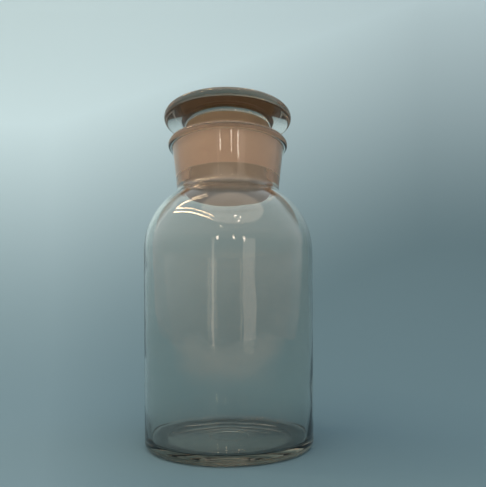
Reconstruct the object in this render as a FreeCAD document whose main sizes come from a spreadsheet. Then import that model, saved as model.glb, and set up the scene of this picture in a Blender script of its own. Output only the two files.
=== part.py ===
import FreeCAD, Part
import math
import os
import Sketcher
from FreeCAD import Vector

# Wide-mouth reagent bottle of clear glass with a ground-in broad-headed stopper.
# Millimetres. The origin is the centre of the base, +Z runs up the axis.
# Both pieces are turned sections: each section is drawn on the XZ plane of its
# body, with the sketch's horizontal axis as the radius, and revolved about Z.

doc = FreeCAD.newDocument("reagent_bottle")

# Driving dimensions
DIMENSIONS = [
    ("body_radius", 53.5, "outside radius of the straight body"),
    ("body_height", 122.0, "base to the top of the straight side"),
    ("wall", 2.0, "thickness of the side and the shoulder"),
    ("heel_rounding", 4.0, "outside rounding between side and base"),
    ("pushup_radius", 40.0, "inner edge of the ring that the bottle stands on"),
    ("pushup_depth", 1.5, "rise of the base's underside at the axis"),
    ("mark_radius", 12.5, "radius of the ring mark that the mould leaves underneath"),
    ("mark_width", 1.2, "width of that ring mark"),
    ("floor_height", 4.4, "height of the inside floor at the axis"),
    ("floor_dish_radius", 900.0, "section radius of the slightly dished floor"),
    ("floor_rounding", 2.2, "inside rounding between floor and side"),
    ("heel_height", 30.0, "height under which the side grows thicker"),
    ("heel_curve_radius", 300.0, "section radius of that thickening"),
    ("shoulder_radius", 44.0, "section radius of the shoulder"),
    ("neck_fillet", 5.0, "hollow rounding where the shoulder turns into the neck"),
    ("neck_length", 32.3, "foot of the neck to the mouth"),
    ("neck_foot", 2.2, "outside of the neck's foot beyond the mouth's bore"),
    ("neck_wall", 5.8, "wall of the neck at the mouth"),
    ("bead_overhang", 2.2, "bead round the mouth, beyond the neck's side"),
    ("bead_height", 3.8, "height of the bead"),
    ("bead_root", 0.8, "hollow rounding under the bead"),
    ("mouth_rounding", 0.9, "rounded inner edge of the mouth"),
    ("socket_radius", 30.0, "radius of the ground bore at the mouth"),
    ("ground_taper", 10.0, "length over which the ground bore narrows by 1 in diameter"),
    ("relief_length", 11.0, "part of the neck below the ground bore"),
    ("ground_clearance", 0.05, "radial play between plug and ground bore"),
    ("plug_rise", 1.2, "ground part of the plug that stands out of the mouth"),
    ("plug_shoulder", 1.5, "rounded top edge of the plug"),
    ("plug_tip", 10.7, "tip of the plug below the ground bore"),
    ("tip_angle", 4.0, "slope of the tip's side, in degrees"),
    ("tip_rounding", 3.0, "rounded lower edge of the plug"),
    ("waist_inset", 3.0, "waist of the stopper inside the bore's radius"),
    ("waist_fillet", 3.0, "hollow rounding between waist and head"),
    ("waist_flare", 3.0, "hollow rounding between waist and plug"),
    ("head_gap", 12.7, "mouth to the underside of the head"),
    ("head_overhang", 10.5, "rim of the head beyond the bore's radius"),
    ("rim_thickness", 5.0, "thickness of the head at its rim"),
    ("rim_rounding", 2.3, "rounding of both edges of the rim"),
    ("head_height", 12.0, "thickness of the head at its crown"),
]

sheet = doc.addObject("Spreadsheet::Sheet", "Dimensions")
sheet.set("A1", "name")
sheet.set("B1", "value")
sheet.set("C1", "meaning")
for row, (alias, value, meaning) in enumerate(DIMENSIONS, start=2):
    sheet.set("A%d" % row, alias)
    sheet.set("B%d" % row, str(value))
    sheet.set("C%d" % row, meaning)
    sheet.setAlias("B%d" % row, alias)
doc.recompute()


def size(alias):
    """The value of a dimension in the sheet."""
    return float(sheet.get(alias))


# Sketch geometry helpers
def segment(start, end):
    """A straight edge of a section, from one (radius, height) to another."""
    return Part.LineSegment(Vector(start[0], start[1], 0), Vector(end[0], end[1], 0))


def arc(centre, radius, first, last):
    """An arc of a section, anticlockwise between two angles in degrees."""
    circle = Part.Circle(Vector(centre[0], centre[1], 0), Vector(0, 0, 1), radius)
    return Part.ArcOfCircle(circle, math.radians(first), math.radians(last))


def on_circle(centre, radius, angle):
    """The point of a circle at an angle in degrees."""
    return (
        centre[0] + radius * math.cos(math.radians(angle)),
        centre[1] + radius * math.sin(math.radians(angle)),
    )


def bearing(start, end):
    """The angle in degrees, from 0 to 360, of the way from one point to another."""
    return math.degrees(math.atan2(end[1] - start[1], end[0] - start[0])) % 360


def fillet_centre(low, high, centre, radius, fillet, side):
    """Centre of a hollow fillet between a line and a circle, outside both.

    The line runs up from low to high and the fillet lies to its right. side is
    +1 for the upper of the two places and -1 for the lower one.
    """
    length = math.hypot(high[0] - low[0], high[1] - low[1])
    along = ((high[0] - low[0]) / length, (high[1] - low[1]) / length)
    foot = (low[0] + fillet * along[1], low[1] - fillet * along[0])
    offset = (foot[0] - centre[0], foot[1] - centre[1])
    half = offset[0] * along[0] + offset[1] * along[1]
    rest = offset[0] ** 2 + offset[1] ** 2 - (radius + fillet) ** 2
    travel = -half + side * math.sqrt(half ** 2 - rest)
    return (foot[0] + travel * along[0], foot[1] + travel * along[1])


def new_body(name, label):
    """An empty body and a section sketch on its XZ plane."""
    body = doc.addObject("PartDesign::Body", name)
    body.Label = label
    return body, new_sketch(body, name + "_section")


def new_sketch(body, name):
    """A sketch on the body's own XZ plane."""
    sketch = body.newObject("Sketcher::SketchObject", name)
    plane = [item for item in body.Origin.OriginFeatures if item.Role == "XZ_Plane"][0]
    sketch.AttachmentSupport = (plane, [""])
    sketch.MapMode = "FlatFace"
    return sketch


def join(sketch, kind, pairs):
    """Tangent or Coincident constraints between ends of edges."""
    for first, first_end, second, second_end in pairs:
        sketch.addConstraint(Sketcher.Constraint(kind, first, first_end, second, second_end))


def drive(sketch, name, constraint, formula):
    """A named dimension of a sketch, bound to the sheet by a formula."""
    index = sketch.addConstraint(constraint)
    sketch.renameConstraint(index, name)
    sketch.setExpression("Constraints." + name, formula)


# Shape of the neck that both pieces share
neck_radius = size("socket_radius") + size("neck_foot")
shoulder_axis = size("body_radius") - size("shoulder_radius")
shoulder_rise = math.sqrt(size("shoulder_radius") ** 2 - (neck_radius - shoulder_axis) ** 2)
neck_foot_height = size("body_height") + shoulder_rise
mouth_height = neck_foot_height + size("neck_length")
socket_length = size("neck_length") - size("relief_length")
taper_angle = math.degrees(math.atan(0.5 / size("ground_taper")))

MOUTH_HEIGHT = (
    "Dimensions.body_height + sqrt(Dimensions.shoulder_radius ^ 2"
    " - (Dimensions.socket_radius + Dimensions.neck_foot"
    " - Dimensions.body_radius + Dimensions.shoulder_radius) ^ 2)"
    " + Dimensions.neck_length"
)
SOCKET_LENGTH = "(Dimensions.neck_length - Dimensions.relief_length)"
TAPER_ANGLE = "atan(0.5 / Dimensions.ground_taper)"

# Bottle section, drawn from the underside round the outside and back inside
bottle, section = new_body("Bottle", "bottle")

stand = size("pushup_radius")
depth = size("pushup_depth")
pushup_curve = (stand ** 2 + depth ** 2) / (2 * depth)
pushup_centre = (0, depth - pushup_curve)
stand_edge = (stand, 0)
heel_centre = (size("body_radius") - size("heel_rounding"), size("heel_rounding"))
shoulder_centre = (shoulder_axis, size("body_height"))
neck_low = (neck_radius, neck_foot_height)
neck_high = (size("socket_radius") + size("neck_wall"), mouth_height)
fillet_point = fillet_centre(
    neck_low, neck_high, shoulder_centre, size("shoulder_radius"), size("neck_fillet"), 1
)
neck_bearing = bearing(neck_low, neck_high)
shoulder_end = bearing(shoulder_centre, fillet_point)
bead_radius = size("bead_height") / 2
bead_centre = (neck_high[0] + size("bead_overhang") - bead_radius, mouth_height - bead_radius)
root_centre = fillet_centre(
    neck_low, neck_high, bead_centre, bead_radius, size("bead_root"), -1
)
root_end = bearing(root_centre, bead_centre)
rounding = size("mouth_rounding")
bore_at_mouth = (size("socket_radius"), mouth_height)
slope = math.radians(taper_angle)
bore_end = (
    size("socket_radius") - socket_length * math.tan(slope),
    mouth_height - socket_length,
)
lip_height = mouth_height - rounding
lip_radius = bore_at_mouth[0] - rounding * math.tan(slope) + rounding / math.cos(slope)
lip_centre = (lip_radius, lip_height)
lip_end = on_circle(lip_centre, rounding, 180 - taper_angle)
inner_fillet = size("neck_fillet") + size("wall")
relief_reach = math.hypot(bore_end[0] - fillet_point[0], bore_end[1] - fillet_point[1])
relief_turn = math.degrees(math.acos(inner_fillet / relief_reach))
relief_bearing = bearing(fillet_point, bore_end) + relief_turn
relief_end = on_circle(fillet_point, inner_fillet, relief_bearing)
inner_shoulder = size("shoulder_radius") - size("wall")
inner_side = size("body_radius") - size("wall")
curve_centre = (inner_side - size("heel_curve_radius"), size("heel_height"))
dish_curve = size("floor_dish_radius")
dish_centre = (0, size("floor_height") + dish_curve)
corner = size("floor_rounding")
corner_reach = size("heel_curve_radius") - corner
corner_height = size("floor_height") + corner
for _ in range(20):
    drop = curve_centre[1] - corner_height
    corner_radius = curve_centre[0] + math.sqrt(corner_reach ** 2 - drop ** 2)
    corner_height = dish_centre[1] - math.sqrt((dish_curve - corner) ** 2 - corner_radius ** 2)
corner_centre = (corner_radius, corner_height)
corner_start = bearing(dish_centre, corner_centre)
corner_end = bearing(curve_centre, corner_centre)

stand_angle = bearing(pushup_centre, stand_edge)
section.addGeometry([
    arc(pushup_centre, pushup_curve, stand_angle, 90),
    segment(stand_edge, (heel_centre[0], 0)),
    arc(heel_centre, size("heel_rounding"), -90, 0),
    segment((size("body_radius"), heel_centre[1]), (size("body_radius"), shoulder_centre[1])),
    arc(shoulder_centre, size("shoulder_radius"), 0, shoulder_end),
    arc(fillet_point, size("neck_fillet"), neck_bearing + 90, shoulder_end + 180),
    segment(
        on_circle(fillet_point, size("neck_fillet"), neck_bearing + 90),
        on_circle(root_centre, size("bead_root"), neck_bearing + 90),
    ),
    arc(root_centre, size("bead_root"), root_end, neck_bearing + 90),
    arc(bead_centre, bead_radius, root_end - 180, 90),
    segment((bead_centre[0], mouth_height), (lip_radius, mouth_height)),
    arc(lip_centre, rounding, 90, 180 - taper_angle),
    segment(lip_end, bore_end),
    segment(bore_end, relief_end),
    arc(fillet_point, inner_fillet, relief_bearing, shoulder_end + 180),
    arc(shoulder_centre, inner_shoulder, 0, shoulder_end),
    segment((inner_side, shoulder_centre[1]), (inner_side, curve_centre[1])),
    arc(curve_centre, size("heel_curve_radius"), corner_end - 360, 0),
    arc(corner_centre, corner, corner_start, corner_end),
    arc(dish_centre, dish_curve, 270, corner_start),
    segment((0, size("floor_height")), (0, depth)),
])
(
    UNDERSIDE, STAND, HEEL, SIDE, SHOULDER, NECK_FILLET, NECK, ROOT, BEAD, MOUTH,
    LIP, SOCKET, RELIEF, INNER_FILLET, INNER_SHOULDER, INNER_SIDE, HEEL_CURVE,
    CORNER, FLOOR, AXIS,
) = range(section.GeometryCount)

# construction points: foot of the neck, neck at the mouth, bore at the mouth
FOOT_POINT, NECK_POINT, BORE_POINT = section.addGeometry([
    Part.Point(Vector(neck_low[0], neck_low[1], 0)),
    Part.Point(Vector(neck_high[0], neck_high[1], 0)),
    Part.Point(Vector(bore_at_mouth[0], bore_at_mouth[1], 0)),
], True)

join(section, "Tangent", [
    (STAND, 2, HEEL, 1),
    (HEEL, 2, SIDE, 1),
    (SIDE, 2, SHOULDER, 1),
    (SHOULDER, 2, NECK_FILLET, 2),
    (NECK_FILLET, 1, NECK, 1),
    (NECK, 2, ROOT, 2),
    (ROOT, 1, BEAD, 1),
    (BEAD, 2, MOUTH, 1),
    (MOUTH, 2, LIP, 1),
    (LIP, 2, SOCKET, 1),
    (RELIEF, 2, INNER_FILLET, 1),
    (INNER_FILLET, 2, INNER_SHOULDER, 2),
    (INNER_SHOULDER, 1, INNER_SIDE, 1),
    (INNER_SIDE, 2, HEEL_CURVE, 2),
    (HEEL_CURVE, 1, CORNER, 2),
    (CORNER, 1, FLOOR, 2),
])
join(section, "Coincident", [
    (UNDERSIDE, 1, STAND, 1),
    (SOCKET, 2, RELIEF, 1),
    (FLOOR, 1, AXIS, 1),
    (AXIS, 2, UNDERSIDE, 2),
    (NECK_FILLET, 3, INNER_FILLET, 3),
    (SHOULDER, 3, INNER_SHOULDER, 3),
])
section.addConstraint([
    Sketcher.Constraint("Horizontal", STAND),
    Sketcher.Constraint("Horizontal", MOUTH),
    Sketcher.Constraint("Vertical", SIDE),
    Sketcher.Constraint("Vertical", INNER_SIDE),
    Sketcher.Constraint("Vertical", AXIS),
    Sketcher.Constraint("PointOnObject", STAND, 1, -1),
    Sketcher.Constraint("PointOnObject", AXIS, 1, -2),
    Sketcher.Constraint("PointOnObject", UNDERSIDE, 3, -2),
    Sketcher.Constraint("PointOnObject", FLOOR, 3, -2),
    Sketcher.Constraint("PointOnObject", FOOT_POINT, 1, SHOULDER),
    Sketcher.Constraint("PointOnObject", FOOT_POINT, 1, NECK),
    Sketcher.Constraint("PointOnObject", NECK_POINT, 1, NECK),
    Sketcher.Constraint("PointOnObject", BORE_POINT, 1, SOCKET),
    Sketcher.Constraint("Horizontal", NECK_POINT, 1, MOUTH, 1),
    Sketcher.Constraint("Horizontal", BORE_POINT, 1, MOUTH, 1),
])

ACROSS = "DistanceX"
UP = "DistanceY"
for name, constraint, formula in [
    ("stand_edge", Sketcher.Constraint(ACROSS, -1, 1, STAND, 1, stand), "Dimensions.pushup_radius"),
    ("underside", Sketcher.Constraint(UP, -1, 1, UNDERSIDE, 2, depth), "Dimensions.pushup_depth"),
    ("heel", Sketcher.Constraint("Radius", HEEL, heel_centre[1]), "Dimensions.heel_rounding"),
    (
        "body",
        Sketcher.Constraint(ACROSS, -1, 1, SIDE, 1, size("body_radius")),
        "Dimensions.body_radius",
    ),
    (
        "side_top",
        Sketcher.Constraint(UP, -1, 1, SIDE, 2, shoulder_centre[1]),
        "Dimensions.body_height",
    ),
    (
        "shoulder",
        Sketcher.Constraint("Radius", SHOULDER, size("shoulder_radius")),
        "Dimensions.shoulder_radius",
    ),
    (
        "neck_fillet",
        Sketcher.Constraint("Radius", NECK_FILLET, size("neck_fillet")),
        "Dimensions.neck_fillet",
    ),
    (
        "neck_foot",
        Sketcher.Constraint(ACROSS, -1, 1, FOOT_POINT, 1, neck_radius),
        "Dimensions.socket_radius + Dimensions.neck_foot",
    ),
    (
        "neck_length",
        Sketcher.Constraint(UP, FOOT_POINT, 1, MOUTH, 1, size("neck_length")),
        "Dimensions.neck_length",
    ),
    (
        "neck_top",
        Sketcher.Constraint(ACROSS, -1, 1, NECK_POINT, 1, neck_high[0]),
        "Dimensions.socket_radius + Dimensions.neck_wall",
    ),
    ("bead_root", Sketcher.Constraint("Radius", ROOT, size("bead_root")), "Dimensions.bead_root"),
    ("bead", Sketcher.Constraint("Radius", BEAD, bead_radius), "Dimensions.bead_height / 2"),
    (
        "bead_place",
        Sketcher.Constraint(ACROSS, -1, 1, BEAD, 3, bead_centre[0]),
        "Dimensions.socket_radius + Dimensions.neck_wall + Dimensions.bead_overhang"
        " - Dimensions.bead_height / 2",
    ),
    ("lip", Sketcher.Constraint("Radius", LIP, rounding), "Dimensions.mouth_rounding"),
    (
        "bore",
        Sketcher.Constraint(ACROSS, -1, 1, BORE_POINT, 1, bore_at_mouth[0]),
        "Dimensions.socket_radius",
    ),
    (
        "bore_taper",
        Sketcher.Constraint("Angle", SOCKET, 2, -2, 1, math.radians(taper_angle)),
        TAPER_ANGLE,
    ),
    (
        "bore_length",
        Sketcher.Constraint(UP, SOCKET, 2, MOUTH, 1, socket_length),
        SOCKET_LENGTH,
    ),
    (
        "inside",
        Sketcher.Constraint(ACROSS, -1, 1, INNER_SIDE, 1, inner_side),
        "Dimensions.body_radius - Dimensions.wall",
    ),
    (
        "heel_top",
        Sketcher.Constraint(UP, -1, 1, INNER_SIDE, 2, curve_centre[1]),
        "Dimensions.heel_height",
    ),
    (
        "heel_curve",
        Sketcher.Constraint("Radius", HEEL_CURVE, size("heel_curve_radius")),
        "Dimensions.heel_curve_radius",
    ),
    ("corner", Sketcher.Constraint("Radius", CORNER, corner), "Dimensions.floor_rounding"),
    ("dish", Sketcher.Constraint("Radius", FLOOR, dish_curve), "Dimensions.floor_dish_radius"),
    (
        "floor",
        Sketcher.Constraint(UP, -1, 1, AXIS, 1, size("floor_height")),
        "Dimensions.floor_height",
    ),
]:
    drive(section, name, constraint, formula)
doc.recompute()

turned = bottle.newObject("PartDesign::Revolution", "Bottle_turned")
turned.Profile = section
turned.ReferenceAxis = (section, ["V_Axis"])
turned.Angle = 360
doc.recompute()

# Ring mark in the base's underside, half-round in section
PUSHUP_CURVE = (
    "((Dimensions.pushup_radius ^ 2 + Dimensions.pushup_depth ^ 2)"
    " / (2 * Dimensions.pushup_depth))"
)
mark_depth = depth - pushup_curve + math.sqrt(pushup_curve ** 2 - size("mark_radius") ** 2)
mark = new_sketch(bottle, "Bottle_mark")
mark_centre = Vector(size("mark_radius"), mark_depth, 0)
mark.addGeometry(Part.Circle(mark_centre, Vector(0, 0, 1), size("mark_width") / 2))
for name, constraint, formula in [
    (
        "mark_size",
        Sketcher.Constraint("Radius", 0, size("mark_width") / 2),
        "Dimensions.mark_width / 2",
    ),
    (
        "mark_place",
        Sketcher.Constraint(ACROSS, -1, 1, 0, 3, mark_centre.x),
        "Dimensions.mark_radius",
    ),
    (
        "mark_level",
        Sketcher.Constraint(UP, -1, 1, 0, 3, mark_centre.y),
        "Dimensions.pushup_depth - " + PUSHUP_CURVE
        + " + sqrt(" + PUSHUP_CURVE + " ^ 2 - Dimensions.mark_radius ^ 2)",
    ),
]:
    drive(mark, name, constraint, formula)
doc.recompute()
unmarked_volume = turned.Shape.Volume
grooved = bottle.newObject("PartDesign::Groove", "Bottle_mark_groove")
grooved.Profile = mark
grooved.ReferenceAxis = (mark, ["V_Axis"])
grooved.Angle = 360
doc.recompute()

# Stopper section, with its origin in the plane of the mouth: from the crown
# round the rim, the underside and the solid plug, and back along the axis
stopper, profile = new_body("Stopper", "stopper")

head_radius = size("socket_radius") + size("head_overhang")
under = size("head_gap")
rim = size("rim_rounding")
apex = (0, under + size("head_height"))
rim_top_centre = (head_radius - rim, under + size("rim_thickness") - rim)
rim_low_centre = (head_radius - rim, under + rim)
rise = apex[1] - rim_top_centre[1]
crown = (rim_top_centre[0] ** 2 + rise ** 2 - rim ** 2) / (2 * (rise - rim))
dome_centre = (0, apex[1] - crown)
dome_start = bearing(dome_centre, rim_top_centre)
waist_radius = size("socket_radius") - size("waist_inset")
under_fillet = size("waist_fillet")
under_centre = (waist_radius + under_fillet, under - under_fillet)
plug_at_mouth = size("socket_radius") - size("ground_clearance")


def plug_side(height):
    """Radius of the ground plug at a height over the mouth."""
    return plug_at_mouth + 0.5 * height / size("ground_taper")


top_edge = size("plug_shoulder")
plug_top = (plug_side(size("plug_rise")), size("plug_rise"))
edge_centre = (
    plug_top[0] - top_edge * math.cos(slope),
    plug_top[1] + top_edge * math.sin(slope),
)
flare = size("waist_flare")
flare_across = waist_radius + flare - edge_centre[0]
flare_centre = (
    waist_radius + flare,
    edge_centre[1] + math.sqrt((flare + top_edge) ** 2 - flare_across ** 2),
)
flare_end = bearing(flare_centre, edge_centre)
plug_length = socket_length + size("plug_tip")
tip_slope = math.radians(size("tip_angle"))
tip_edge = size("tip_rounding")
ground_end = (plug_side(-socket_length), -socket_length)
edge_level = -plug_length + tip_edge
tip_end_level = edge_level - tip_edge * math.sin(tip_slope)
tip_end = (
    ground_end[0] - (ground_end[1] - tip_end_level) * math.tan(tip_slope),
    tip_end_level,
)
tip_centre = (tip_end[0] - tip_edge * math.cos(tip_slope), edge_level)

profile.addGeometry([
    arc(dome_centre, crown, dome_start, 90),
    arc(rim_top_centre, rim, 0, dome_start),
    segment((head_radius, rim_top_centre[1]), (head_radius, rim_low_centre[1])),
    arc(rim_low_centre, rim, -90, 0),
    segment((rim_low_centre[0], under), (under_centre[0], under)),
    arc(under_centre, under_fillet, 90, 180),
    segment((waist_radius, under_centre[1]), (waist_radius, flare_centre[1])),
    arc(flare_centre, flare, 180, flare_end),
    arc(edge_centre, top_edge, -taper_angle, flare_end - 180),
    segment(plug_top, ground_end),
    segment(ground_end, tip_end),
    arc(tip_centre, tip_edge, -90, -size("tip_angle")),
    segment((tip_centre[0], -plug_length), (0, -plug_length)),
    segment((0, -plug_length), apex),
])
(
    CROWN, RIM_TOP, RIM, RIM_LOW, UNDER, WAIST_FILLET, WAIST, FLARE, PLUG_EDGE, GROUND,
    TIP, TIP_EDGE, END_FACE, STOPPER_AXIS,
) = range(profile.GeometryCount)
PLUG_POINT = profile.addGeometry(Part.Point(Vector(plug_at_mouth, 0, 0)), True)

join(profile, "Tangent", [
    (CROWN, 1, RIM_TOP, 2),
    (RIM_TOP, 1, RIM, 1),
    (RIM, 2, RIM_LOW, 2),
    (RIM_LOW, 1, UNDER, 1),
    (UNDER, 2, WAIST_FILLET, 1),
    (WAIST_FILLET, 2, WAIST, 1),
    (WAIST, 2, FLARE, 1),
    (FLARE, 2, PLUG_EDGE, 2),
    (PLUG_EDGE, 1, GROUND, 1),
    (TIP, 2, TIP_EDGE, 2),
    (TIP_EDGE, 1, END_FACE, 1),
])
join(profile, "Coincident", [
    (GROUND, 2, TIP, 1),
    (END_FACE, 2, STOPPER_AXIS, 1),
    (STOPPER_AXIS, 2, CROWN, 2),
])
profile.addConstraint([
    Sketcher.Constraint("Vertical", RIM),
    Sketcher.Constraint("Vertical", WAIST),
    Sketcher.Constraint("Vertical", STOPPER_AXIS),
    Sketcher.Constraint("Horizontal", UNDER),
    Sketcher.Constraint("Horizontal", END_FACE),
    Sketcher.Constraint("PointOnObject", STOPPER_AXIS, 1, -2),
    Sketcher.Constraint("PointOnObject", CROWN, 3, -2),
    Sketcher.Constraint("PointOnObject", PLUG_POINT, 1, -1),
    Sketcher.Constraint("PointOnObject", PLUG_POINT, 1, GROUND),
])

PLUG_LENGTH = "(Dimensions.neck_length - Dimensions.relief_length + Dimensions.plug_tip)"
for name, constraint, formula in [
    (
        "rim",
        Sketcher.Constraint(ACROSS, -1, 1, RIM, 1, head_radius),
        "Dimensions.socket_radius + Dimensions.head_overhang",
    ),
    (
        "rim_top",
        Sketcher.Constraint("Radius", RIM_TOP, rim),
        "Dimensions.rim_rounding",
    ),
    ("rim_low", Sketcher.Constraint("Radius", RIM_LOW, rim), "Dimensions.rim_rounding"),
    (
        "rim_level",
        Sketcher.Constraint(UP, -1, 1, RIM_TOP, 3, rim_top_centre[1]),
        "Dimensions.head_gap + Dimensions.rim_thickness - Dimensions.rim_rounding",
    ),
    (
        "crown",
        Sketcher.Constraint(UP, -1, 1, CROWN, 2, apex[1]),
        "Dimensions.head_gap + Dimensions.head_height",
    ),
    ("under", Sketcher.Constraint(UP, -1, 1, UNDER, 1, under), "Dimensions.head_gap"),
    (
        "waist_fillet",
        Sketcher.Constraint("Radius", WAIST_FILLET, under_fillet),
        "Dimensions.waist_fillet",
    ),
    (
        "waist",
        Sketcher.Constraint(ACROSS, -1, 1, WAIST, 1, waist_radius),
        "Dimensions.socket_radius - Dimensions.waist_inset",
    ),
    ("flare", Sketcher.Constraint("Radius", FLARE, flare), "Dimensions.waist_flare"),
    (
        "plug_edge",
        Sketcher.Constraint("Radius", PLUG_EDGE, top_edge),
        "Dimensions.plug_shoulder",
    ),
    (
        "plug_top",
        Sketcher.Constraint(UP, -1, 1, GROUND, 1, plug_top[1]),
        "Dimensions.plug_rise",
    ),
    (
        "plug",
        Sketcher.Constraint(ACROSS, -1, 1, PLUG_POINT, 1, plug_at_mouth),
        "Dimensions.socket_radius - Dimensions.ground_clearance",
    ),
    (
        "plug_taper",
        Sketcher.Constraint("Angle", GROUND, 2, -2, 1, slope),
        TAPER_ANGLE,
    ),
    (
        "ground_length",
        Sketcher.Constraint(UP, GROUND, 2, -1, 1, socket_length),
        SOCKET_LENGTH,
    ),
    (
        "tip_slope",
        Sketcher.Constraint("Angle", TIP, 2, -2, 1, tip_slope),
        "Dimensions.tip_angle * 1deg",
    ),
    (
        "tip_edge",
        Sketcher.Constraint("Radius", TIP_EDGE, tip_edge),
        "Dimensions.tip_rounding",
    ),
    (
        "plug_end",
        Sketcher.Constraint(UP, END_FACE, 1, -1, 1, plug_length),
        PLUG_LENGTH,
    ),
]:
    drive(profile, name, constraint, formula)
doc.recompute()

moulded = stopper.newObject("PartDesign::Revolution", "Stopper_turned")
moulded.Profile = profile
moulded.ReferenceAxis = (profile, ["V_Axis"])
moulded.Angle = 360
stopper.setExpression("Placement.Base.z", MOUTH_HEIGHT)
doc.recompute()

# Checks before export
for item in doc.Objects:
    if "Invalid" in item.State or "Error" in item.State:
        raise RuntimeError("%s did not recompute" % item.Name)
for sketch in (section, mark, profile):
    if sketch.solve() != 0 or sketch.DoF != 0:
        raise RuntimeError("%s is not fully constrained" % sketch.Name)
if not 0 < grooved.Shape.Volume < unmarked_volume:
    raise RuntimeError("the ring mark cuts nothing")

os.makedirs("parts", exist_ok=True)
for body in (bottle, stopper):
    if body.Shape.isNull() or not body.Shape.isValid() or len(body.Shape.Solids) != 1:
        raise RuntimeError("%s is not one valid solid" % body.Label)
    body.Shape.exportStep(os.path.join("parts", body.Label + ".step"))
    print("%s: %.2f cubic cm" % (body.Label, body.Shape.Volume / 1000))
print("mouth at %.2f mm, crown of the head at %.2f mm" % (mouth_height, mouth_height + apex[1]))
print("clearance:", round(bottle.Shape.distToShape(stopper.Shape)[0], 4))
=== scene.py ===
import math

import bmesh
import bpy
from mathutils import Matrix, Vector


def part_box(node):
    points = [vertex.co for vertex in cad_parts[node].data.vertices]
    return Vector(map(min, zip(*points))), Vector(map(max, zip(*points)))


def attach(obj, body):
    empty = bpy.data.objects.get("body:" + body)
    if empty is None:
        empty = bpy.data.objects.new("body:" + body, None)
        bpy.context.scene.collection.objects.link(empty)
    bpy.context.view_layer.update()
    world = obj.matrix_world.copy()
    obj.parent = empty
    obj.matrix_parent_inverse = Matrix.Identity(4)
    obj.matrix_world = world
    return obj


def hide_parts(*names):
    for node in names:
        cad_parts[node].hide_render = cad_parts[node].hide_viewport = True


# Wide-mouth reagent bottle of clear glass with its ground-in stopper.
# Metres. Both pieces are turned: each has a section of (radius, height) points
# that a node tree revolves about the upright axis.

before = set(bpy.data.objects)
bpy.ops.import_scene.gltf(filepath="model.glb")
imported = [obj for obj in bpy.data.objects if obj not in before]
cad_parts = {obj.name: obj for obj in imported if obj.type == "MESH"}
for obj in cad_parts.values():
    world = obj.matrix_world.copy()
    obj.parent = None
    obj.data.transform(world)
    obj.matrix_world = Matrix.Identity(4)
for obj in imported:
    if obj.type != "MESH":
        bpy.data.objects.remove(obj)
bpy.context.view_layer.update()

bottle_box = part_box("bottle")
stopper_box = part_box("stopper")

# Sizes read from the frame
BODY_RADIUS = bottle_box[1].x
MOUTH = bottle_box[1].z
HEAD_RADIUS = stopper_box[1].x
CROWN = stopper_box[1].z

# Bottle
WALL = 0.0020
HEEL_ROUNDING = 0.0040
PUSHUP_RADIUS = 0.0400
PUSHUP_DEPTH = 0.0015
MARK_RADIUS = 0.0125
MARK_HALF_WIDTH = 0.0006
FLOOR_HEIGHT = 0.0044
FLOOR_DISH = 0.900
FLOOR_ROUNDING = 0.0022
HEEL_HEIGHT = 0.030
HEEL_CURVE = 0.300
SHOULDER_HEIGHT = 0.122
SHOULDER_RADIUS = 0.044
NECK_FILLET = 0.005
NECK_LENGTH = 0.0323
NECK_FOOT = 0.0322
NECK_TOP = 0.0358
BEAD_OVERHANG = 0.0022
BEAD_HALF_HEIGHT = 0.0019
BEAD_ROOT = 0.0008
MOUTH_ROUNDING = 0.0009
BORE_RADIUS = 0.030
GROUND_TAPER = math.atan(0.05)
GROUND_LENGTH = 0.0213

# Stopper, with heights from the mouth
PLAY = 0.00005
PLUG_RISE = 0.0012
PLUG_EDGE = 0.0015
PLUG_TIP = 0.0107
TIP_ANGLE = math.radians(4)
TIP_ROUNDING = 0.003
WAIST_RADIUS = 0.027
WAIST_FILLET = 0.003
HEAD_GAP = 0.0127
RIM_THICKNESS = 0.005
RIM_ROUNDING = 0.0023

# Fineness of the turned meshes
SEGMENTS = 168
ARC_STEP = math.radians(7)
LONG_ARC = 0.020
END_ROW = 0.0004
UNEVEN_ROW = 0.003
SAME_POINT = 1e-6
CREASE_ANGLE = math.radians(20)

HALF_TURN = math.pi
QUARTER_TURN = math.pi / 2

# Finish of a stretch of a section, and the limits between the three
CLEAR = 0.0
MOULDED = 0.5
GROUND = 1.0
MOULDED_FROM = 0.4
GROUND_FROM = 0.9

# Unevenness inside the blown body: how far, and over what distance
UNEVENNESS = 0.00025
WAVE_LENGTH = 0.030


# Section drawing
class Section:
    """The outline of a turned piece, drawn point by point.

    Each point has a radius, a height, a finish, and the share of the blown
    wall's unevenness that may move it.
    """

    def __init__(self):
        self.points = []

    def add(self, point, finish=CLEAR, uneven=0.0):
        if self.points:
            last = self.points[-1]
            if math.hypot(point[0] - last[0], point[1] - last[1]) < SAME_POINT:
                self.points[-1] = (last[0], last[1], max(finish, last[2]), uneven)
                return
        self.points.append((point[0], point[1], finish, uneven))

    def line(self, start, end, finish=CLEAR, uneven=0.0):
        """A straight stretch with a short row at each end, which keeps it flat."""
        length = math.hypot(end[0] - start[0], end[1] - start[1])
        rows = [0.0, 1.0]
        if length > 6 * END_ROW:
            rows = [0.0, END_ROW / length, 1 - END_ROW / length, 1.0]
        if uneven:
            inner = max(1, round(length / UNEVEN_ROW))
            rows = sorted(set(rows + [row / inner for row in range(1, inner)]))
        for row in rows:
            point = (
                start[0] + row * (end[0] - start[0]),
                start[1] + row * (end[1] - start[1]),
            )
            self.add(point, finish, uneven)

    def arc(self, centre, radius, first, last, finish=CLEAR, uneven=0.0):
        """An arc from one angle to another, in either sense."""
        step = ARC_STEP if radius < LONG_ARC else ARC_STEP * LONG_ARC / radius
        count = max(3, math.ceil(abs(last - first) / step))
        for row in range(count + 1):
            angle = first + (last - first) * row / count
            self.add(on_circle(centre, radius, angle), finish, uneven)


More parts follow.
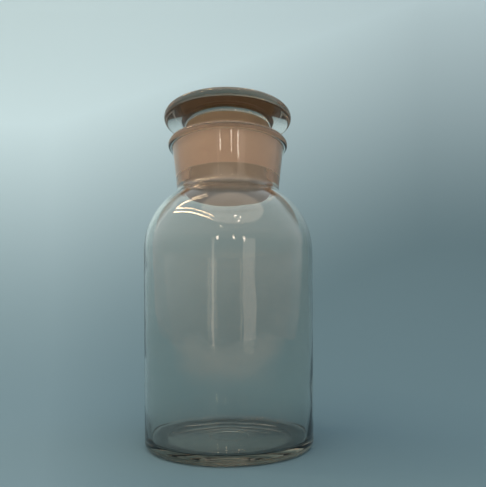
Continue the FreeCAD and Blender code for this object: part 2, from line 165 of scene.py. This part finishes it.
def on_circle(centre, radius, angle):
    return (
        centre[0] + radius * math.cos(angle),
        centre[1] + radius * math.sin(angle),
    )


def bearing(start, end):
    return math.atan2(end[1] - start[1], end[0] - start[0])


def fillet_centre(low, high, centre, radius, fillet, side):
    """Centre of a hollow fillet to the right of a line and outside a circle."""
    length = math.hypot(high[0] - low[0], high[1] - low[1])
    along = ((high[0] - low[0]) / length, (high[1] - low[1]) / length)
    foot = (low[0] + fillet * along[1], low[1] - fillet * along[0])
    offset = (foot[0] - centre[0], foot[1] - centre[1])
    half = offset[0] * along[0] + offset[1] * along[1]
    rest = offset[0] ** 2 + offset[1] ** 2 - (radius + fillet) ** 2
    travel = -half + side * math.sqrt(half ** 2 - rest)
    return (foot[0] + travel * along[0], foot[1] + travel * along[1])


def bottle_section():
    """From the axis under the base, up the outside, over the mouth and down inside."""
    section = Section()

    # push-up of the base with the mould's ring mark
    pushup_curve = (PUSHUP_RADIUS ** 2 + PUSHUP_DEPTH ** 2) / (2 * PUSHUP_DEPTH)
    pushup_centre = (0.0, PUSHUP_DEPTH - pushup_curve)
    mark_level = pushup_centre[1] + math.sqrt(pushup_curve ** 2 - MARK_RADIUS ** 2)
    mark_centre = (MARK_RADIUS, mark_level)
    inner_edge = math.acos((MARK_RADIUS - MARK_HALF_WIDTH) / pushup_curve)
    outer_edge = math.acos((MARK_RADIUS + MARK_HALF_WIDTH) / pushup_curve)
    section.arc(pushup_centre, pushup_curve, QUARTER_TURN, inner_edge)
    section.arc(mark_centre, MARK_HALF_WIDTH, HALF_TURN, 0.0)
    stand_edge = (PUSHUP_RADIUS, 0.0)
    section.arc(pushup_centre, pushup_curve, outer_edge, bearing(pushup_centre, stand_edge))

    # ring that the bottle stands on, heel and side
    heel_centre = (BODY_RADIUS - HEEL_ROUNDING, HEEL_ROUNDING)
    section.line(stand_edge, (heel_centre[0], 0.0))
    section.arc(heel_centre, HEEL_ROUNDING, -QUARTER_TURN, 0.0)
    section.line((BODY_RADIUS, heel_centre[1]), (BODY_RADIUS, SHOULDER_HEIGHT))

    # shoulder and neck
    shoulder_centre = (BODY_RADIUS - SHOULDER_RADIUS, SHOULDER_HEIGHT)
    neck_low = (NECK_FOOT, MOUTH - NECK_LENGTH)
    neck_high = (NECK_TOP, MOUTH)
    fillet_point = fillet_centre(
        neck_low, neck_high, shoulder_centre, SHOULDER_RADIUS, NECK_FILLET, 1
    )
    neck_bearing = bearing(neck_low, neck_high)
    shoulder_end = bearing(shoulder_centre, fillet_point)
    neck_side = neck_bearing + QUARTER_TURN
    section.arc(shoulder_centre, SHOULDER_RADIUS, 0.0, shoulder_end)
    section.arc(fillet_point, NECK_FILLET, shoulder_end + HALF_TURN, neck_side)

    # bead round the mouth
    bead_centre = (NECK_TOP + BEAD_OVERHANG - BEAD_HALF_HEIGHT, MOUTH - BEAD_HALF_HEIGHT)
    root_centre = fillet_centre(
        neck_low, neck_high, bead_centre, BEAD_HALF_HEIGHT, BEAD_ROOT, -1
    )
    root_end = bearing(root_centre, bead_centre)
    section.line(
        on_circle(fillet_point, NECK_FILLET, neck_side),
        on_circle(root_centre, BEAD_ROOT, neck_side),
    )
    section.arc(root_centre, BEAD_ROOT, neck_side, root_end)
    section.arc(bead_centre, BEAD_HALF_HEIGHT, root_end - HALF_TURN, QUARTER_TURN)

    # mouth and ground bore
    slope = math.tan(GROUND_TAPER)
    lip_centre = (
        BORE_RADIUS - MOUTH_ROUNDING * slope + MOUTH_ROUNDING / math.cos(GROUND_TAPER),
        MOUTH - MOUTH_ROUNDING,
    )
    lip_end = HALF_TURN - GROUND_TAPER
    bore_end = (BORE_RADIUS - GROUND_LENGTH * slope, MOUTH - GROUND_LENGTH)
    section.line((bead_centre[0], MOUTH), (lip_centre[0], MOUTH))
    section.arc(lip_centre, MOUTH_ROUNDING, QUARTER_TURN, lip_end)
    section.line(on_circle(lip_centre, MOUTH_ROUNDING, lip_end), bore_end, GROUND)

    # inside of the neck's foot, shoulder, side and floor
    inner_fillet = NECK_FILLET + WALL
    reach = math.hypot(bore_end[0] - fillet_point[0], bore_end[1] - fillet_point[1])
    relief = bearing(fillet_point, bore_end) + math.acos(inner_fillet / reach)
    inner_side = BODY_RADIUS - WALL
    curve_centre = (inner_side - HEEL_CURVE, HEEL_HEIGHT)
    dish_centre = (0.0, FLOOR_HEIGHT + FLOOR_DISH)
    corner_level = FLOOR_HEIGHT + FLOOR_ROUNDING
    for _ in range(20):
        drop = curve_centre[1] - corner_level
        reach = HEEL_CURVE - FLOOR_ROUNDING
        corner_radius = curve_centre[0] + math.sqrt(reach ** 2 - drop ** 2)
        reach = FLOOR_DISH - FLOOR_ROUNDING
        corner_level = dish_centre[1] - math.sqrt(reach ** 2 - corner_radius ** 2)
    corner = (corner_radius, corner_level)
    corner_low = bearing(dish_centre, corner)
    corner_high = bearing(curve_centre, corner)
    section.line(bore_end, on_circle(fillet_point, inner_fillet, relief))
    section.arc(fillet_point, inner_fillet, relief, shoulder_end + HALF_TURN, uneven=0.3)
    section.arc(shoulder_centre, SHOULDER_RADIUS - WALL, shoulder_end, 0.0, uneven=1.0)
    section.line((inner_side, SHOULDER_HEIGHT), (inner_side, HEEL_HEIGHT), uneven=1.0)
    section.arc(curve_centre, HEEL_CURVE, 0.0, corner_high, uneven=1.0)
    section.arc(corner, FLOOR_ROUNDING, corner_high, corner_low, uneven=1.0)
    section.arc(dish_centre, FLOOR_DISH, corner_low, -QUARTER_TURN, uneven=1.0)
    return section.points


def stopper_section():
    """From the axis on top of the head, round the rim and down to the plug's end."""
    section = Section()

    def lifted(point):
        return (point[0], point[1] + MOUTH)

    # domed head
    rim_top = lifted((HEAD_RADIUS - RIM_ROUNDING, HEAD_GAP + RIM_THICKNESS - RIM_ROUNDING))
    rim_low = lifted((HEAD_RADIUS - RIM_ROUNDING, HEAD_GAP + RIM_ROUNDING))
    rise = CROWN - rim_top[1]
    crown_curve = rim_top[0] ** 2 + rise ** 2 - RIM_ROUNDING ** 2
    crown_curve /= 2 * (rise - RIM_ROUNDING)
    dome_centre = (0.0, CROWN - crown_curve)
    dome_end = bearing(dome_centre, rim_top)
    section.arc(dome_centre, crown_curve, QUARTER_TURN, dome_end)
    section.arc(rim_top, RIM_ROUNDING, dome_end, 0.0)
    section.arc(rim_low, RIM_ROUNDING, 0.0, -QUARTER_TURN)

    # waist, half matt from the press, with painted shade in its dark colour, and the flare down to
    # the plug's upper edge
    under = MOUTH + HEAD_GAP
    under_centre = (WAIST_RADIUS + WAIST_FILLET, under - WAIST_FILLET)
    slope = math.tan(GROUND_TAPER)
    plug_radius = BORE_RADIUS - PLAY
    plug_top = (plug_radius + PLUG_RISE * slope, MOUTH + PLUG_RISE)
    edge_centre = (
        plug_top[0] - PLUG_EDGE * math.cos(GROUND_TAPER),
        plug_top[1] + PLUG_EDGE * math.sin(GROUND_TAPER),
    )
    across = WAIST_RADIUS + WAIST_FILLET - edge_centre[0]
    reach = WAIST_FILLET + PLUG_EDGE
    flare_centre = (
        WAIST_RADIUS + WAIST_FILLET,
        edge_centre[1] + math.sqrt(reach ** 2 - across ** 2),
    )
    flare_end = bearing(flare_centre, edge_centre) % (2 * math.pi)
    section.line((rim_low[0], under), (under_centre[0], under))
    section.arc(under_centre, WAIST_FILLET, QUARTER_TURN, HALF_TURN)
    section.line((WAIST_RADIUS, under_centre[1]), (WAIST_RADIUS, flare_centre[1]), MOULDED)
    section.arc(flare_centre, WAIST_FILLET, HALF_TURN, flare_end, MOULDED)
    section.arc(edge_centre, PLUG_EDGE, flare_end - HALF_TURN, -GROUND_TAPER, MOULDED)

    # ground plug, its tip and its end, all frosted
    length = GROUND_LENGTH + PLUG_TIP
    ground_end = (plug_radius - GROUND_LENGTH * slope, MOUTH - GROUND_LENGTH)
    edge_level = MOUTH - length + TIP_ROUNDING
    tip_end_level = edge_level - TIP_ROUNDING * math.sin(TIP_ANGLE)
    tip_end = (
        ground_end[0] - (ground_end[1] - tip_end_level) * math.tan(TIP_ANGLE),
        tip_end_level,
    )
    tip_centre = (tip_end[0] - TIP_ROUNDING * math.cos(TIP_ANGLE), edge_level)
    section.line(plug_top, ground_end, GROUND)
    section.line(ground_end, tip_end, GROUND)
    section.arc(tip_centre, TIP_ROUNDING, -TIP_ANGLE, -QUARTER_TURN, GROUND)
    section.line((tip_centre[0], MOUTH - length), (0.0, MOUTH - length), GROUND)
    return section.points


# Node trees
class Tree:
    """A node tree that is filled in with short calls."""

    def __init__(self, nodes, links):
        self.nodes = nodes
        self.links = links

    def add(self, kind, inputs=None, **settings):
        node = self.nodes.new(kind)
        for name, value in settings.items():
            setattr(node, name, value)
        for socket, value in (inputs or {}).items():
            self.feed(node.inputs[socket], value)
        return node

    def feed(self, socket, value):
        """Links an output to a socket, or sets the socket's own value."""
        if isinstance(value, bpy.types.NodeSocket):
            self.links.new(value, socket)
        else:
            socket.default_value = value

    def math(self, operation, *values):
        node = self.add("ShaderNodeMath", operation=operation)
        for socket, value in zip(node.inputs, values):
            self.feed(socket, value)
        return node.outputs[0]

    def ramp(self, value, span, result=(0.0, 1.0)):
        """Maps one span of values evenly onto another and holds it at both ends."""
        node = self.add("ShaderNodeMapRange", {
            "Value": value,
            "From Min": span[0],
            "From Max": span[1],
            "To Min": result[0],
            "To Max": result[1],
        })
        return node.outputs[0]

    def blend(self, factor, first, second):
        """A colour between two, each of them a plain colour or an output."""
        node = self.add("ShaderNodeMix", {"Factor": factor}, data_type="RGBA")
        self.feed(node.inputs[6], first)
        self.feed(node.inputs[7], second)
        return node.outputs[2]

    def noise(self, place, scale, detail, roughness):
        node = self.add("ShaderNodeTexNoise", {
            "Vector": place,
            "Scale": scale,
            "Detail": detail,
            "Roughness": roughness,
        })
        return node.outputs[0]

    def bump(self, height, strength, distance):
        node = self.add("ShaderNodeBump", {
            "Height": height,
            "Strength": strength,
            "Distance": distance,
        })
        return node.outputs[0]


def turned_glass_tree():
    """Geometry nodes that revolve a section of points about the upright axis."""
    group = bpy.data.node_groups.new("turned_glass", "GeometryNodeTree")
    group.is_modifier = True
    for name, kind in [
        ("Section", "NodeSocketGeometry"),
        ("Segments", "NodeSocketInt"),
        ("Unevenness", "NodeSocketFloat"),
        ("Wave length", "NodeSocketFloat"),
        ("Clear glass", "NodeSocketMaterial"),
        ("Moulded glass", "NodeSocketMaterial"),
        ("Ground glass", "NodeSocketMaterial"),
    ]:
        group.interface.new_socket(name, in_out="INPUT", socket_type=kind)
    group.interface.new_socket("Turned", in_out="OUTPUT", socket_type="NodeSocketGeometry")
    tree = Tree(group.nodes, group.links)
    given = tree.add("NodeGroupInput").outputs

    # a grid with one row for each point of the section, one column for each step round
    rows = tree.add("GeometryNodeAttributeDomainSize", {"Geometry": given["Section"]})
    columns = tree.math("ADD", given["Segments"], 1)
    grid = tree.add(
        "GeometryNodeMeshGrid",
        {
            "Size X": 1.0,
            "Size Y": 1.0,
            "Vertices X": rows.outputs["Point Count"],
            "Vertices Y": columns,
        },
    )
    index = tree.add("GeometryNodeInputIndex").outputs[0]
    row = tree.math("FLOOR", tree.math("DIVIDE", tree.math("ADD", index, 0.5), columns))
    column = tree.math("SUBTRACT", index, tree.math("MULTIPLY", row, columns))
    turn = tree.math("DIVIDE", tree.math("MULTIPLY", column, 2 * math.pi), given["Segments"])

    def of_section(value, kind):
        sample = tree.add(
            "GeometryNodeSampleIndex",
            {"Geometry": given["Section"], "Index": row},
            data_type=kind,
            domain="POINT",
        )
        tree.links.new(value, sample.inputs["Value"])
        return sample.outputs[0]

    def attribute(name):
        node = tree.add("GeometryNodeInputNamedAttribute", {"Name": name}, data_type="FLOAT")
        return node.outputs["Attribute"]

    place = of_section(tree.add("GeometryNodeInputPosition").outputs[0], "FLOAT_VECTOR")
    finish = of_section(attribute("finish"), "FLOAT")
    uneven = of_section(attribute("uneven"), "FLOAT")
    parts = tree.add("ShaderNodeSeparateXYZ", {"Vector": place}).outputs

    def on_ring(radius):
        return tree.add(
            "ShaderNodeCombineXYZ",
            {
                "X": tree.math("MULTIPLY", radius, tree.math("COSINE", turn)),
                "Y": tree.math("MULTIPLY", radius, tree.math("SINE", turn)),
                "Z": parts["Z"],
            },
        ).outputs[0]

    # blown glass is a little uneven inside; the radius weights it, so the axis stays closed
    noise = tree.add(
        "ShaderNodeTexNoise",
        {
            "Vector": on_ring(parts["X"]),
            "Scale": tree.math("DIVIDE", 1.0, given["Wave length"]),
            "Detail": 1.0,
        },
        noise_dimensions="3D",
    )
    swing = tree.math("MULTIPLY", tree.math("SUBTRACT", noise.outputs[0], 0.5), 2.0)
    share = tree.math("DIVIDE", parts["X"], BODY_RADIUS)
    amount = tree.math("MULTIPLY", tree.math("MULTIPLY", uneven, share), given["Unevenness"])
    radius = tree.math("ADD", parts["X"], tree.math("MULTIPLY", swing, amount))
    shaped = tree.add(
        "GeometryNodeSetPosition", {"Geometry": grid.outputs["Mesh"], "Position": on_ring(radius)}
    )
    marked = tree.add(
        "GeometryNodeStoreNamedAttribute",
        {"Geometry": shaped.outputs[0], "Name": "finish_band", "Value": finish},
        data_type="FLOAT",
        domain="POINT",
    )
    closed = tree.add(
        "GeometryNodeMergeByDistance", {"Geometry": marked.outputs[0], "Distance": 1e-7}
    )
    edge_angle = tree.add("GeometryNodeInputMeshEdgeAngle").outputs["Unsigned Angle"]
    smooth = tree.add("GeometryNodeSetShadeSmooth", {"Geometry": closed.outputs[0]}, domain="FACE")
    creased = tree.add(
        "GeometryNodeSetShadeSmooth",
        {
            "Geometry": smooth.outputs[0],
            "Selection": tree.math("GREATER_THAN", edge_angle, CREASE_ANGLE),
            "Shade Smooth": False,
        },
        domain="EDGE",
    )
    whole = tree.add("GeometryNodeRealizeInstances", {"Geometry": creased.outputs[0]})
    dressed = tree.add("GeometryNodeSetMaterial", {
        "Geometry": whole.outputs[0],
        "Material": given["Clear glass"],
    })
    for lowest, glass in [(MOULDED_FROM, "Moulded glass"), (GROUND_FROM, "Ground glass")]:
        dressed = tree.add("GeometryNodeSetMaterial", {
            "Geometry": dressed.outputs[0],
            "Selection": tree.math("GREATER_THAN", attribute("finish_band"), lowest),
            "Material": given[glass],
        })
    tree.add("NodeGroupOutput", {"Turned": dressed.outputs[0]})
    return group


def turn_piece(name, points, tree, settings):
    """Makes the plain mesh object of a turned piece from its section."""
    outline = bpy.data.meshes.new(name + "_section")
    edges = [(row, row + 1) for row in range(len(points) - 1)]
    outline.from_pydata([(point[0], 0.0, point[1]) for point in points], edges, [])
    for label, place in [("finish", 2), ("uneven", 3)]:
        layer = outline.attributes.new(label, "FLOAT", "POINT")
        layer.data.foreach_set("value", [point[place] for point in points])
    drawn = bpy.data.objects.new(name + "_section", outline)
    bpy.context.scene.collection.objects.link(drawn)
    modifier = drawn.modifiers.new("turn", "NODES")
    modifier.node_group = tree
    for item in tree.interface.items_tree:
        if item.in_out == "INPUT" and item.name in settings:
            modifier[item.identifier] = settings[item.name]
    bpy.context.view_layer.update()
    evaluated = drawn.evaluated_get(bpy.context.evaluated_depsgraph_get())
    mesh = bpy.data.meshes.new_from_object(evaluated)
    mesh.name = name
    bpy.data.objects.remove(drawn)
    bpy.data.meshes.remove(outline)

    shape = bmesh.new()
    shape.from_mesh(mesh)
    if shape.calc_volume(signed=True) < 0:
        bmesh.ops.reverse_faces(shape, faces=shape.faces)
        shape.to_mesh(mesh)
    shape.free()
    piece = bpy.data.objects.new(name, mesh)
    bpy.context.scene.collection.objects.link(piece)
    return piece


# Materials
GLASS_IOR = 1.52
GLASS_TINT = (0.60, 0.53, 0.42, 1.0)
BOTTLE_TINT_DENSITY = 21.0
STOPPER_TINT_DENSITY = 20.0
BOTTLE_CLEAR_COLOUR = (0.87, 0.88, 0.85, 1.0)
STOPPER_CLEAR_COLOUR = (0.96, 0.97, 0.95, 1.0)
# painted light: the bore's and the plug's tan is warm room light painted onto frosted glass, which
# is itself pale
BORE_PAINTED_WARM_LIGHT_COLOUR = (1.0, 0.78, 0.62, 1.0)
PLUG_PAINTED_WARM_LIGHT_COLOUR = (0.96, 0.84, 0.72, 1.0)
# painted shade: the waist's dark olive-brown stands in for the shade seen through the head
WAIST_PAINTED_SHADE_COLOUR = (0.44, 0.34, 0.22, 1.0)


def new_material(name):
    material = bpy.data.materials.new(name)
    material.use_nodes = True
    material.node_tree.nodes.clear()
    return material, Tree(material.node_tree.nodes, material.node_tree.links)


def tinted_body(tree, output, density):
    """The faint olive of the glass, which only thick places show."""
    tint = tree.add("ShaderNodeVolumeAbsorption", {"Color": GLASS_TINT, "Density": density})
    tree.links.new(tint.outputs[0], output.inputs["Volume"])


def clear_glass(name, colour, wave, depth, density):
    """Fire-polished glass: smooth, with slow waves and a touch of handling haze."""
    material, tree = new_material(name)
    place = tree.add("ShaderNodeTexCoord").outputs["Object"]
    waves = tree.noise(place, 1 / wave, 1.5, 0.4)
    haze = tree.noise(place, 60.0, 4.0, 0.6)
    shader = tree.add("ShaderNodeBsdfPrincipled", {
        "Base Color": colour,
        "Roughness": tree.ramp(haze, (0.35, 0.75), (0.0, 0.03)),
        "IOR": GLASS_IOR,
        "Transmission Weight": 1.0,
        "Normal": tree.bump(waves, 1.0, depth),
    })
    output = tree.add("ShaderNodeOutputMaterial", {"Surface": shader.outputs[0]})
    tinted_body(tree, output, density)
    return material


def matt_glass(name, painted_light_tone, see_through, density):
    """Ground or moulded glass: a fine matt grain, which lets a share of the light through. Its
    tone is painted light: warm room light on the ground zones, shade on the waist.
    """
    material, tree = new_material(name)
    place = tree.add("ShaderNodeTexCoord").outputs["Object"]
    grain = tree.bump(tree.noise(place, 2500.0, 3.0, 0.7), 0.5, 0.00004)
    darker = tuple(0.9 * part for part in painted_light_tone[:3]) + (1.0,)
    colour = tree.blend(tree.noise(place, 90.0, 3.0, 0.6), darker, painted_light_tone)
    shader = tree.add("ShaderNodeBsdfPrincipled", {
        "Base Color": colour,
        "Roughness": 0.5,
        "IOR": GLASS_IOR,
        "Normal": grain,
    })
    glow = tree.add("ShaderNodeBsdfTranslucent", {"Color": colour, "Normal": grain})
    matt = tree.add("ShaderNodeMixShader", {
        0: see_through,
        1: shader.outputs[0],
        2: glow.outputs[0],
    })
    output = tree.add("ShaderNodeOutputMaterial", {"Surface": matt.outputs[0]})
    tinted_body(tree, output, density)
    return material


# The two pieces
turned_tree = turned_glass_tree()
bottle_clear = clear_glass(
    "bottle_clear_glass", BOTTLE_CLEAR_COLOUR, 0.030, 0.0004, BOTTLE_TINT_DENSITY
)
stopper_clear = clear_glass(
    "stopper_clear_glass", STOPPER_CLEAR_COLOUR, 0.018, 0.0002, STOPPER_TINT_DENSITY
)
ground_bore_painted_warm_light = matt_glass("ground_bore_painted_warm_light", BORE_PAINTED_WARM_LIGHT_COLOUR, 0.12, BOTTLE_TINT_DENSITY)
ground_plug_painted_warm_light = matt_glass("ground_plug_painted_warm_light", PLUG_PAINTED_WARM_LIGHT_COLOUR, 0.45, STOPPER_TINT_DENSITY)
moulded_waist_painted_shade = matt_glass("moulded_waist_painted_shade", WAIST_PAINTED_SHADE_COLOUR, 0.45, STOPPER_TINT_DENSITY)

bottle = turn_piece("bottle_glass", bottle_section(), turned_tree, {
    "Segments": SEGMENTS,
    "Unevenness": UNEVENNESS,
    "Wave length": WAVE_LENGTH,
    "Clear glass": bottle_clear,
    "Moulded glass": bottle_clear,
    "Ground glass": ground_bore_painted_warm_light,
})
stopper = turn_piece("stopper_glass", stopper_section(), turned_tree, {
    "Segments": SEGMENTS,
    "Unevenness": 0.0,
    "Wave length": WAVE_LENGTH,
    "Clear glass": stopper_clear,
    "Moulded glass": moulded_waist_painted_shade,
    "Ground glass": ground_plug_painted_warm_light,
})
for piece, body, slot in [
    (bottle, "bottle", "bottle_glass"),
    (stopper, "stopper", "stopper_glass"),
]:
    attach(piece, body)
    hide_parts(body)


# Floor that curves up into the backdrop
FLOOR_FRONT = -2.0
FLOOR_BACK = 0.15
SWEEP_RADIUS = 1.10
SWEEP_STEPS = 12
BACKDROP_HEIGHT = 2.2
BACKDROP_HALF_WIDTH = 2.2
# painted light: the paper runs from painted shade near the floor to painted light high up
PAPER_PAINTED_SHADE = (0.106, 0.20, 0.265, 1.0)
PAPER_PAINTED_LIGHT = (0.51, 0.79, 1.0, 1.0)
WALL_COLOUR = (0.30, 0.21, 0.15, 1.0)
TABLE_COLOUR = (0.46, 0.42, 0.39, 1.0)


def sweep():
    profile = [(FLOOR_FRONT, 0.0), (FLOOR_BACK, 0.0)]
    for step in range(1, SWEEP_STEPS + 1):
        angle = QUARTER_TURN * step / SWEEP_STEPS
        profile.append((
            FLOOR_BACK + SWEEP_RADIUS * math.sin(angle),
            SWEEP_RADIUS - SWEEP_RADIUS * math.cos(angle),
        ))
    profile.append((FLOOR_BACK + SWEEP_RADIUS, BACKDROP_HEIGHT))
    vertices = []
    for along, height in profile:
        vertices += [(-BACKDROP_HALF_WIDTH, along, height), (BACKDROP_HALF_WIDTH, along, height)]
    faces = [(2 * row, 2 * row + 1, 2 * row + 3, 2 * row + 2) for row in range(len(profile) - 1)]
    mesh = bpy.data.meshes.new("sweep")
    mesh.from_pydata(vertices, [], faces)
    for face in mesh.polygons:
        face.use_smooth = True
    paper = bpy.data.objects.new("sweep", mesh)
    bpy.context.scene.collection.objects.link(paper)
    material, tree = new_material("blue_paper")
    place = tree.add("ShaderNodeTexCoord").outputs["Object"]
    parts = tree.add("ShaderNodeSeparateXYZ", {"Vector": place}).outputs
    # painted light: the paper is painted paler towards the left, where light falls in, at any
    # depth, and paler towards the top
    depth = tree.math("MAXIMUM", tree.math("ADD", parts["Y"], 0.30), 0.2)
    painted_light_slant = tree.math("DIVIDE", tree.math("MULTIPLY", parts["X"], -0.55), depth)
    painted_light_slant = tree.math("MINIMUM", tree.math("MAXIMUM", painted_light_slant, -0.22), 0.22)
    rise = tree.ramp(tree.math("ADD", parts["Z"], painted_light_slant), (0.04, 0.94))
    colour = tree.blend(tree.math("POWER", rise, 1.4), PAPER_PAINTED_SHADE, PAPER_PAINTED_LIGHT)
    # bare wall over the paper and bare table on the camera's side of it
    colour = tree.blend(tree.ramp(parts["Z"], (1.20, 1.30)), colour, WALL_COLOUR)
    colour = tree.blend(tree.ramp(parts["Y"], (-0.20, -0.60)), colour, TABLE_COLOUR)
    shader = tree.add("ShaderNodeBsdfPrincipled", {
        "Base Color": colour,
        "Roughness": 0.9,
        "Specular IOR Level": 0.1,
    })
    tree.add("ShaderNodeOutputMaterial", {"Surface": shader.outputs[0]})
    mesh.materials.append(material)


sweep()

# Room light: bluish from the backdrop's side, warm from the camera's side, dim at the horizon
ROOM_NEAR_COLOUR = (0.84, 0.62, 0.49, 1.0)
ROOM_FAR_COLOUR = (0.72, 0.78, 0.82, 1.0)
ROOM_LOW_STRENGTH = 0.40
ROOM_HIGH_STRENGTH = 1.10

world = bpy.data.worlds.new("room")
bpy.context.scene.world = world
world.use_nodes = True
world.node_tree.nodes.clear()
room = Tree(world.node_tree.nodes, world.node_tree.links)
direction = room.add("ShaderNodeTexCoord").outputs["Generated"]
way = room.add("ShaderNodeSeparateXYZ", {"Vector": direction}).outputs
facing = room.math("ADD", way["Y"], room.math("MULTIPLY", way["Z"], 0.3))
background = room.add("ShaderNodeBackground", {
    "Color": room.blend(room.ramp(facing, (-0.9, 0.9)), ROOM_NEAR_COLOUR, ROOM_FAR_COLOUR),
    "Strength": room.ramp(way["Z"], (-0.05, 0.40), (ROOM_LOW_STRENGTH, ROOM_HIGH_STRENGTH)),
})
room.add("ShaderNodeOutputWorld", {"Surface": background.outputs[0]})


def soft_light(name, azimuth, elevation, distance, size, power, colour, shape="RECTANGLE"):
    """An area light aimed at the bottle, with angles in degrees.

    Azimuth 0 is the camera's side, positive to its right.
    """
    lamp = bpy.data.lights.new(name, "AREA")
    lamp.shape = shape
    lamp.size, lamp.size_y = size
    lamp.energy = power
    lamp.color = colour
    holder = bpy.data.objects.new(name, lamp)
    bpy.context.scene.collection.objects.link(holder)
    azimuth = math.radians(azimuth)
    elevation = math.radians(elevation)
    aim = Vector((0.0, 0.0, LIGHT_AIM_HEIGHT))
    place = Vector((
        math.sin(azimuth) * math.cos(elevation),
        -math.cos(azimuth) * math.cos(elevation),
        math.sin(elevation),
    ))
    holder.location = aim + place * distance
    holder.rotation_euler = place.to_track_quat("Z", "Y").to_euler()


LIGHT_AIM_HEIGHT = 0.11
SOFT = (1.0, 0.94, 0.88)
WARM = (1.0, 0.86, 0.72)
PEACH = (1.0, 0.79, 0.60)
AMBER = (1.0, 0.70, 0.42)
soft_light("ceiling_tube", -62, 47, 2.0, (1.95, 0.045), 8.5, AMBER)
soft_light("ceiling_tube_2", -62, 52, 2.0, (1.9, 0.03), 3.5, AMBER)
soft_light("side_tube", -100, 59, 2.0, (0.05, 1.03), 3.5, AMBER)
soft_light("left_window", -18, 0, 2.0, (0.10, 0.9), 0.28, WARM)
soft_light("right_window", 28, -1, 2.0, (0.55, 0.9), 1.4, WARM)
soft_light("key_lamp", -135, 35, 2.4, (1.6, 1.2), 2.0, SOFT)
soft_light("ceiling", 10, 62, 2.2, (2.8, 2.4), 18.0, PEACH, "ELLIPSE")
for name, azimuth in [("pane_1", -13), ("pane_2", 9), ("pane_3", 22)]:
    soft_light(name, azimuth, 12, 2.0, (0.06, 0.16), 0.4, WARM)
for name, azimuth, elevation in [
    ("bulb_1", -13, 33), ("bulb_2", -9, 29),
    ("bulb_3", 14, 45), ("bulb_4", 21, 42), ("bulb_5", 17, 37),
]:
    soft_light(name, azimuth, elevation, 2.0, (0.05, 0.05), 0.4, WARM)

# Camera at the photograph's place
PICTURE_SIZE = 487
FOCAL_PIXELS = 464.3
HORIZON_BELOW_CENTRE = 81.1
SENSOR = 36.0
CAMERA_PLACE = (0.00907, -0.2992, 0.0762)
CAMERA_ROLL = 0.0057

camera_data = bpy.data.cameras.new("camera")
camera_data.sensor_width = SENSOR
camera_data.lens = SENSOR * FOCAL_PIXELS / PICTURE_SIZE
camera_data.shift_y = HORIZON_BELOW_CENTRE / PICTURE_SIZE
camera_data.clip_start = 0.01
camera = bpy.data.objects.new("camera", camera_data)
camera.location = CAMERA_PLACE
camera.rotation_euler = (math.pi / 2, CAMERA_ROLL, 0.0)
bpy.context.scene.collection.objects.link(camera)
bpy.context.scene.camera = camera
bpy.context.scene.view_settings.view_transform = "Standard"

# Light turns many times inside thick glass before it leaves it
bpy.context.scene.cycles.max_bounces = 32
bpy.context.scene.cycles.glossy_bounces = 24
bpy.context.scene.cycles.transmission_bounces = 32
